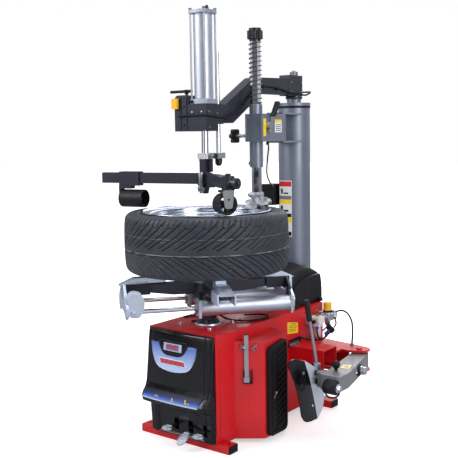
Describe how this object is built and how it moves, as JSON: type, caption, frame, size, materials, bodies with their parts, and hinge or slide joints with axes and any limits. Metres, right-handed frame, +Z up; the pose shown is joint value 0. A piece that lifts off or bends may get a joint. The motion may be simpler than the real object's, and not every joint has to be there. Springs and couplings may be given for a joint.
{
  "type": "tire changer machine",
  "caption": "Floor-standing swing-arm tyre changer: wheel clamped on a turntable, tilting column, pneumatic helper arm with press rollers, and a side bead breaker.",
  "frame": {"origin": "on the turntable's axis of rotation, at floor level under the floor bars", "axes": "+Z up, -Y towards the operator and the pedals, +Y towards the column, +X towards the bead breaker"},
  "size_m": [1.1098, 1.1941, 1.896],
  "materials": {
    "red_paint": "gloss powder coat",
    "grey_paint": "satin blue-grey metallic paint",
    "dark_paint": "satin black paint",
    "arm_paint": "satin grey paint",
    "black_plastic": "moulded, semi-gloss",
    "matte_black_plastic": "fine grain",
    "yellow_plastic": "moulded",
    "white_plastic": "moulded",
    "rubber": "ribbed",
    "tyre": "tread rubber",
    "rim_alloy": "polished alloy",
    "chrome": "hard chrome",
    "steel": "zinc plated",
    "aluminium": "anodised",
    "jaw_zinc": "bright zinc",
    "cast_iron": "as cast",
    "bronze": "machined",
    "motor_paint": "satin"
  },
  "bodies": {
    "base": {"cabinet": "red_paint", "foot_bars": "red_paint", "front_cover": "black_plastic", "support_pad": "rubber", "table_bolts": "steel", "gearbox_housing": "cast_iron", "motor": "motor_paint", "drive_belt": "rubber", "breaker_cylinder": "aluminium", "tilt_cylinder": "aluminium", "air_unit": "white_plastic", "column_hinge_pin": "steel", "column_cover": "matte_black_plastic", "breaker_bracket": "red_paint"},
    "turntable": {"spider": "dark_paint", "worm_wheel": "bronze", "rim": "rim_alloy", "tyre": "tyre"},
    "worm_input": {"worm_shaft": "steel"},
    "motor_drive": {"motor_pulley": "steel"},
    "jaw_slide_1": {"jaw_1": "jaw_zinc", "clamp_cylinders": "aluminium"},
    "jaw_slide_2": {"jaw_2": "jaw_zinc"},
    "jaw_slide_3": {"jaw_3": "jaw_zinc", "clamp_rods": "chrome"},
    "jaw_slide_4": {"jaw_4": "jaw_zinc"},
    "column": {"column_tube": "grey_paint", "post_arm": "grey_paint"},
    "tilt_piston": {"tilt_rod": "chrome"},
    "post_bar": {"mount_bar": "chrome", "mount_head": "steel", "post_spring": "steel"},
    "bar_lock": {"lock_lever": "steel"},
    "reach_knob": {"hand_knob": "matte_black_plastic"},
    "helper_arm": {"swing_arm": "dark_paint", "valve_box": "dark_paint", "helper_cylinder": "aluminium", "helper_end_caps": "aluminium", "tie_rods": "steel"},
    "button": {"helper_button": "yellow_plastic"},
    "valve_handle": {"helper_handle": "matte_black_plastic"},
    "tool_carriage": {"helper_piston": "chrome", "guide_rod": "chrome", "clamp_plate": "steel", "tool_post": "dark_paint"},
    "rail": {"press_rail": "dark_paint"},
    "sleeve": {"rail_sleeve": "dark_paint"},
    "left_roller": {"press_roller": "matte_black_plastic"},
    "forged_arm": {"roller_arm": "dark_paint"},
    "right_roller": {"bead_roller": "matte_black_plastic"},
    "left_pedal": {"jaw_pedal": "steel"},
    "middle_pedal": {"breaker_pedal": "steel"},
    "right_pedal": {"turntable_pedal": "steel"},
    "bead_breaker": {"breaker_arm": "arm_paint"},
    "pull_rod": {"breaker_rod": "chrome"},
    "blade_carrier": {"blade": "aluminium", "blade_cover": "black_plastic", "blade_handle": "chrome"},
    "pressure_knob": {"regulator_knob": "yellow_plastic"},
    "lever": {"tyre_lever": "steel"}
  },
  "joints": [
    {"name": "turntable_spin", "type": "hinge", "parent": "base", "child": "turntable", "pos_m": [0, 0, 0.6], "axis": [0, 0, 1], "continuous": true},
    {"name": "worm_spin", "type": "hinge", "parent": "base", "child": "worm_input", "pos_m": [0, 0.098, 0.415], "axis": [1, 0, 0], "continuous": true},
    {"name": "motor_spin", "type": "hinge", "parent": "base", "child": "motor_drive", "pos_m": [0, 0.27, 0.15], "axis": [1, 0, 0], "continuous": true},
    {"name": "jaw_1_travel", "type": "slide", "parent": "turntable", "child": "jaw_slide_1", "axis": [0.6293, 0.7771, 0], "range_m": [-0.1, 0]},
    {"name": "jaw_2_travel", "type": "slide", "parent": "turntable", "child": "jaw_slide_2", "axis": [-0.7771, 0.6293, 0], "range_m": [-0.1, 0]},
    {"name": "jaw_3_travel", "type": "slide", "parent": "turntable", "child": "jaw_slide_3", "axis": [-0.6293, -0.7771, 0], "range_m": [-0.1, 0]},
    {"name": "jaw_4_travel", "type": "slide", "parent": "turntable", "child": "jaw_slide_4", "axis": [0.7771, -0.6293, 0], "range_m": [-0.1, 0]},
    {"name": "column_tilt", "type": "hinge", "parent": "base", "child": "column", "pos_m": [0, 0.735, 0.46], "axis": [1, 0, 0], "range_deg": [-18, 0]},
    {"name": "tilt_piston_travel", "type": "slide", "parent": "base", "child": "tilt_piston", "axis": [0, 1, 0], "range_m": [-0.03, 0]},
    {"name": "post_bar_height", "type": "slide", "parent": "column", "child": "post_bar", "axis": [0, 0, 1], "range_m": [0, 0.085], "deforming": ["post_spring"]},
    {"name": "bar_lock_turn", "type": "hinge", "parent": "column", "child": "bar_lock", "pos_m": [0.155, 0.276, 1.388], "axis": [1, 0, 0], "range_deg": [0, 60]},
    {"name": "reach_knob_turn", "type": "hinge", "parent": "column", "child": "reach_knob", "pos_m": [-0.03, 0.262, 1.34], "axis": [1, 0, 0], "continuous": true},
    {"name": "helper_arm_swing", "type": "hinge", "parent": "column", "child": "helper_arm", "pos_m": [0, 0.716, 1.58], "axis": [0, 0, 1], "range_deg": [-90, 0]},
    {"name": "button_press", "type": "slide", "parent": "helper_arm", "child": "button", "axis": [0, 1, 0], "range_m": [0, 0.004]},
    {"name": "valve_handle_turn", "type": "hinge", "parent": "helper_arm", "child": "valve_handle", "pos_m": [-0.1, 0, 1.53], "axis": [0, 0, 1], "range_deg": [-30, 30]},
    {"name": "tool_carriage_height", "type": "slide", "parent": "helper_arm", "child": "tool_carriage", "axis": [0, 0, 1], "range_m": [0, 0.09]},
    {"name": "rail_swing", "type": "hinge", "parent": "tool_carriage", "child": "rail", "pos_m": [0, 0, 1.17], "axis": [0, 0, 1], "range_deg": [-20, 20]},
    {"name": "sleeve_travel", "type": "slide", "parent": "rail", "child": "sleeve", "axis": [-0.9781, -0.2079, 0], "range_m": [-0.18, 0.03]},
    {"name": "left_roller_spin", "type": "hinge", "parent": "sleeve", "child": "left_roller", "pos_m": [-0.36778, -0.07817, 1.061], "axis": [-0.9781, -0.2079, 0], "continuous": true},
    {"name": "forged_arm_swing", "type": "hinge", "parent": "tool_carriage", "child": "forged_arm", "pos_m": [0, 0, 1.147], "axis": [0, 0, 1], "range_deg": [-20, 20]},
    {"name": "right_roller_spin", "type": "hinge", "parent": "forged_arm", "child": "right_roller", "pos_m": [0.232, -0.161, 1.064], "axis": [0.866, -0.5, 0], "continuous": true},
    {"name": "jaw_pedal_press", "type": "hinge", "parent": "base", "child": "left_pedal", "pos_m": [-0.03, -0.13, 0.082], "axis": [1, 0, 0], "range_deg": [-8, 8]},
    {"name": "breaker_pedal_press", "type": "hinge", "parent": "base", "child": "middle_pedal", "pos_m": [0.052, -0.13, 0.082], "axis": [1, 0, 0], "range_deg": [0, 10]},
    {"name": "turntable_pedal_press", "type": "hinge", "parent": "base", "child": "right_pedal", "pos_m": [0.136, -0.13, 0.082], "axis": [1, 0, 0], "range_deg": [-8, 8]},
    {"name": "bead_breaker_swing", "type": "hinge", "parent": "base", "child": "bead_breaker", "pos_m": [0.45, 0.58, 0.27], "axis": [0, 0, 1], "range_deg": [-2, 15]},
    {"name": "pull_rod_travel", "type": "slide", "parent": "base", "child": "pull_rod", "axis": [1, 0, 0], "range_m": [-0.01, 0.06]},
    {"name": "blade_swing", "type": "hinge", "parent": "bead_breaker", "child": "blade_carrier", "pos_m": [0.457, 0.21, 0.27], "axis": [0, 0, 1], "range_deg": [-6, 10]},
    {"name": "pressure_knob_turn", "type": "hinge", "parent": "base", "child": "pressure_knob", "pos_m": [0.246, 0.629, 0.49], "axis": [0, 0, 1], "continuous": true},
    {"name": "lever_lift", "type": "slide", "parent": "base", "child": "lever", "axis": [0, 0, 1], "range_m": [0, 0.06]}
  ],
  "couplings": [
    {"joint": "worm_spin", "follows": "turntable_spin", "ratio": 40},
    {"joint": "motor_spin", "follows": "turntable_spin", "ratio": 80},
    {"joint": "jaw_2_travel", "follows": "jaw_1_travel", "ratio": 1},
    {"joint": "jaw_3_travel", "follows": "jaw_1_travel", "ratio": 1},
    {"joint": "jaw_4_travel", "follows": "jaw_1_travel", "ratio": 1},
    {"joint": "tilt_piston_travel", "follows": "column_tilt", "m_per_rad": 0.088},
    {"joint": "pull_rod_travel", "follows": "bead_breaker_swing", "m_per_rad": 0.21}
  ]
}
